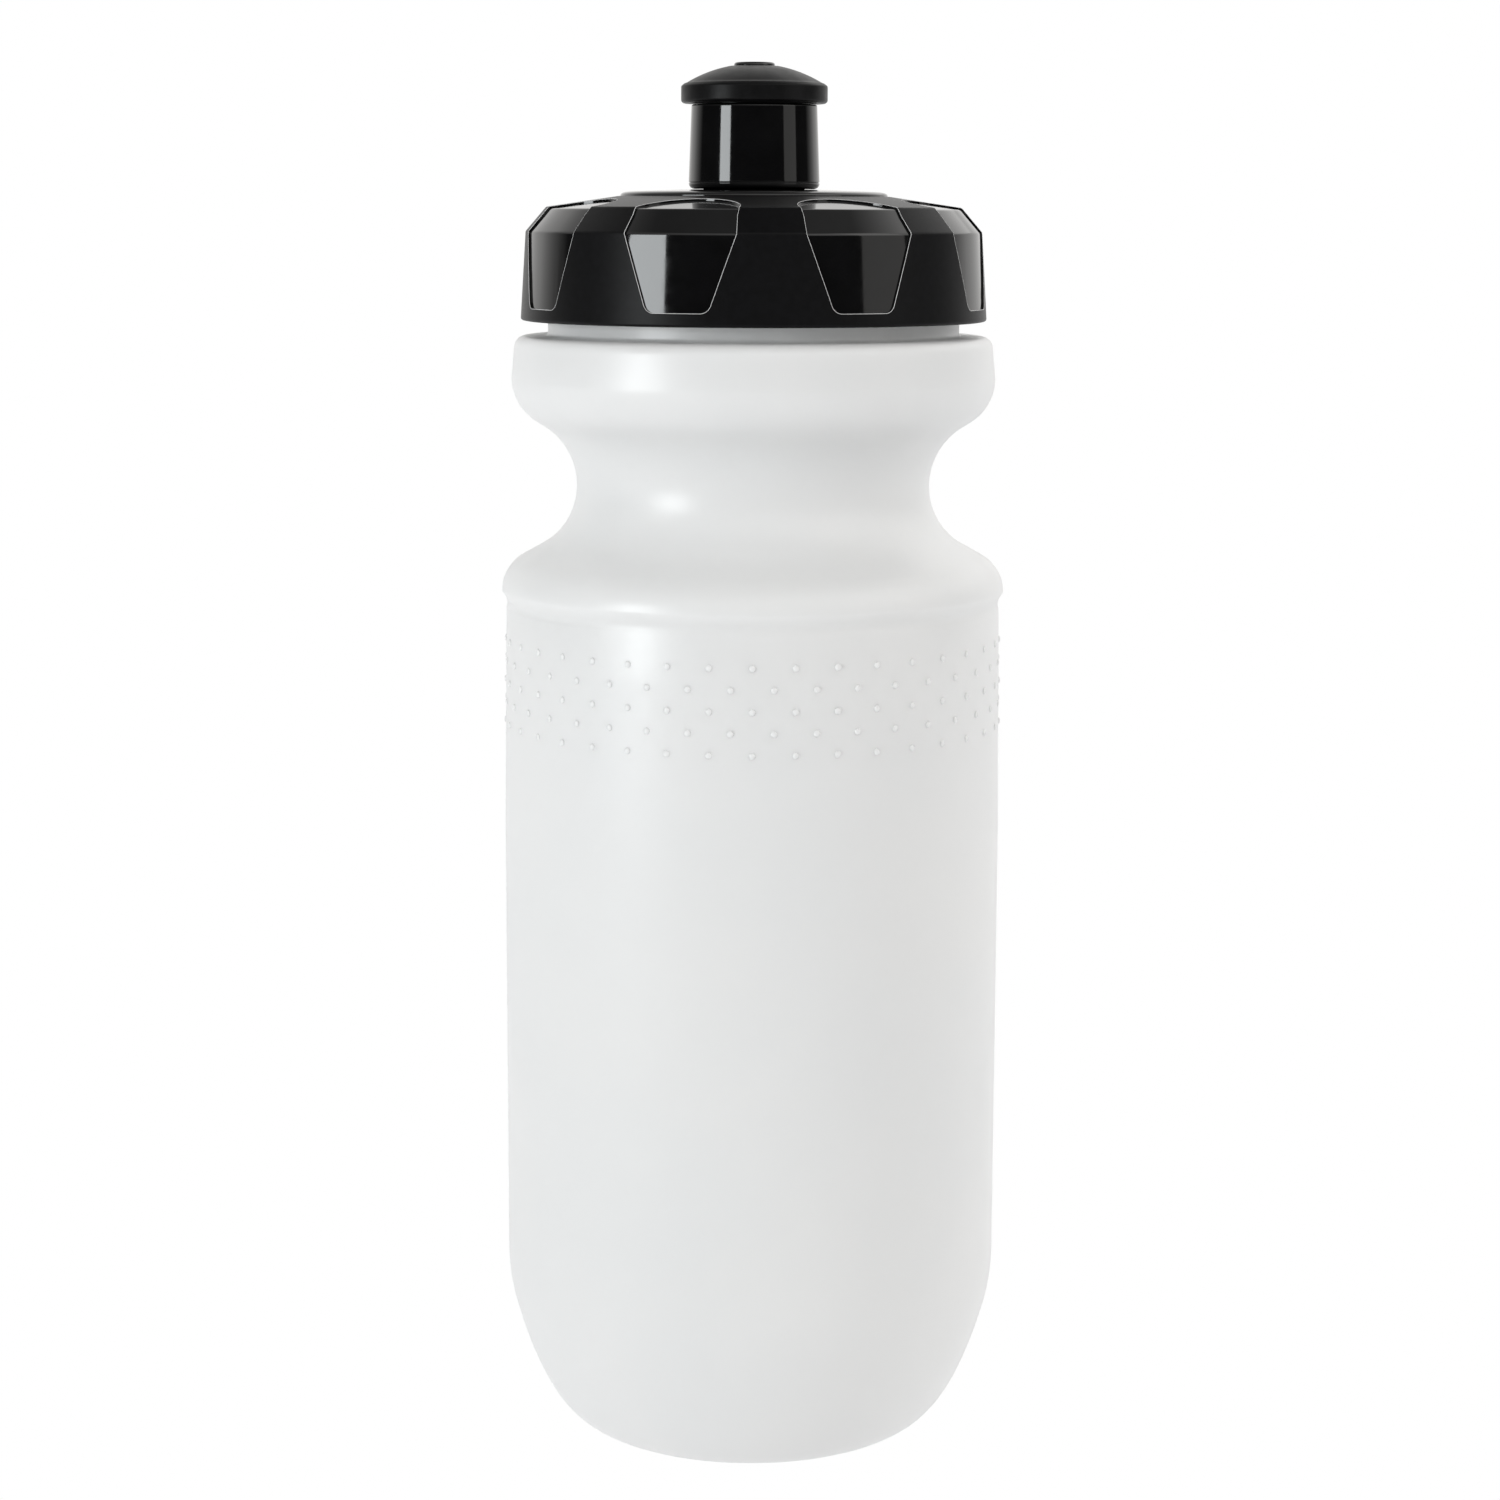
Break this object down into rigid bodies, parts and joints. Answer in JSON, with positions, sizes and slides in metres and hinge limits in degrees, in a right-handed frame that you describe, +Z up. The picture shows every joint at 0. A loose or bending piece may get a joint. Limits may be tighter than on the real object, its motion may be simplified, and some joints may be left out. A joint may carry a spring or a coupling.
{
  "type": "water_bottle",
  "caption": "Bicycle squeeze bottle with a milky translucent body, a waisted grip, a black screw lid with smooth panels and a push-pull drinking valve",
  "frame": {"origin": "centre of the standing ring on the table, at the bottom of the bottle", "axes": "+Z up along the bottle's axis from the base to the drinking valve, -Y towards the front, +X to the right as seen from the front"},
  "size_m": [0.0738, 0.0738, 0.2027],
  "materials": {
    "milky_ldpe": "milky translucent blow-moulded polyethylene",
    "black_pp": "fine spark-eroded texture with polished panels",
    "gloss_black_pp": "polished",
    "soft_black_tpe": "soft satin",
    "seal_silicone": "satin silicone"
  },
  "bodies": {
    "bottle": {"bottle": "milky_ldpe"},
    "gasket": {"lid_gasket": "seal_silicone"},
    "lid": {"screw_lid": "black_pp", "spout": "gloss_black_pp"},
    "seal": {"valve_o_ring": "seal_silicone"},
    "valve": {"valve_sleeve": "gloss_black_pp", "mouthpiece": "soft_black_tpe"}
  },
  "joints": [
    {"name": "lid_lift", "type": "slide", "parent": "bottle", "child": "gasket", "axis": [0, 0, 1], "range_m": [0, 0.02]},
    {"name": "lid_turn", "type": "hinge", "parent": "gasket", "child": "lid", "pos_m": [0, 0, 0.1799], "axis": [0, 0, 1], "range_deg": [0, 1440]},
    {"name": "valve_pull", "type": "slide", "parent": "lid", "child": "seal", "axis": [0, 0, 1], "range_m": [0, 0.006]},
    {"name": "valve_spin", "type": "hinge", "parent": "seal", "child": "valve", "pos_m": [0, 0, 0.19], "axis": [0, 0, 1], "continuous": true}
  ],
  "couplings": [
    {"joint": "lid_turn", "follows": "lid_lift", "rad_per_m": 1256.6}
  ]
}
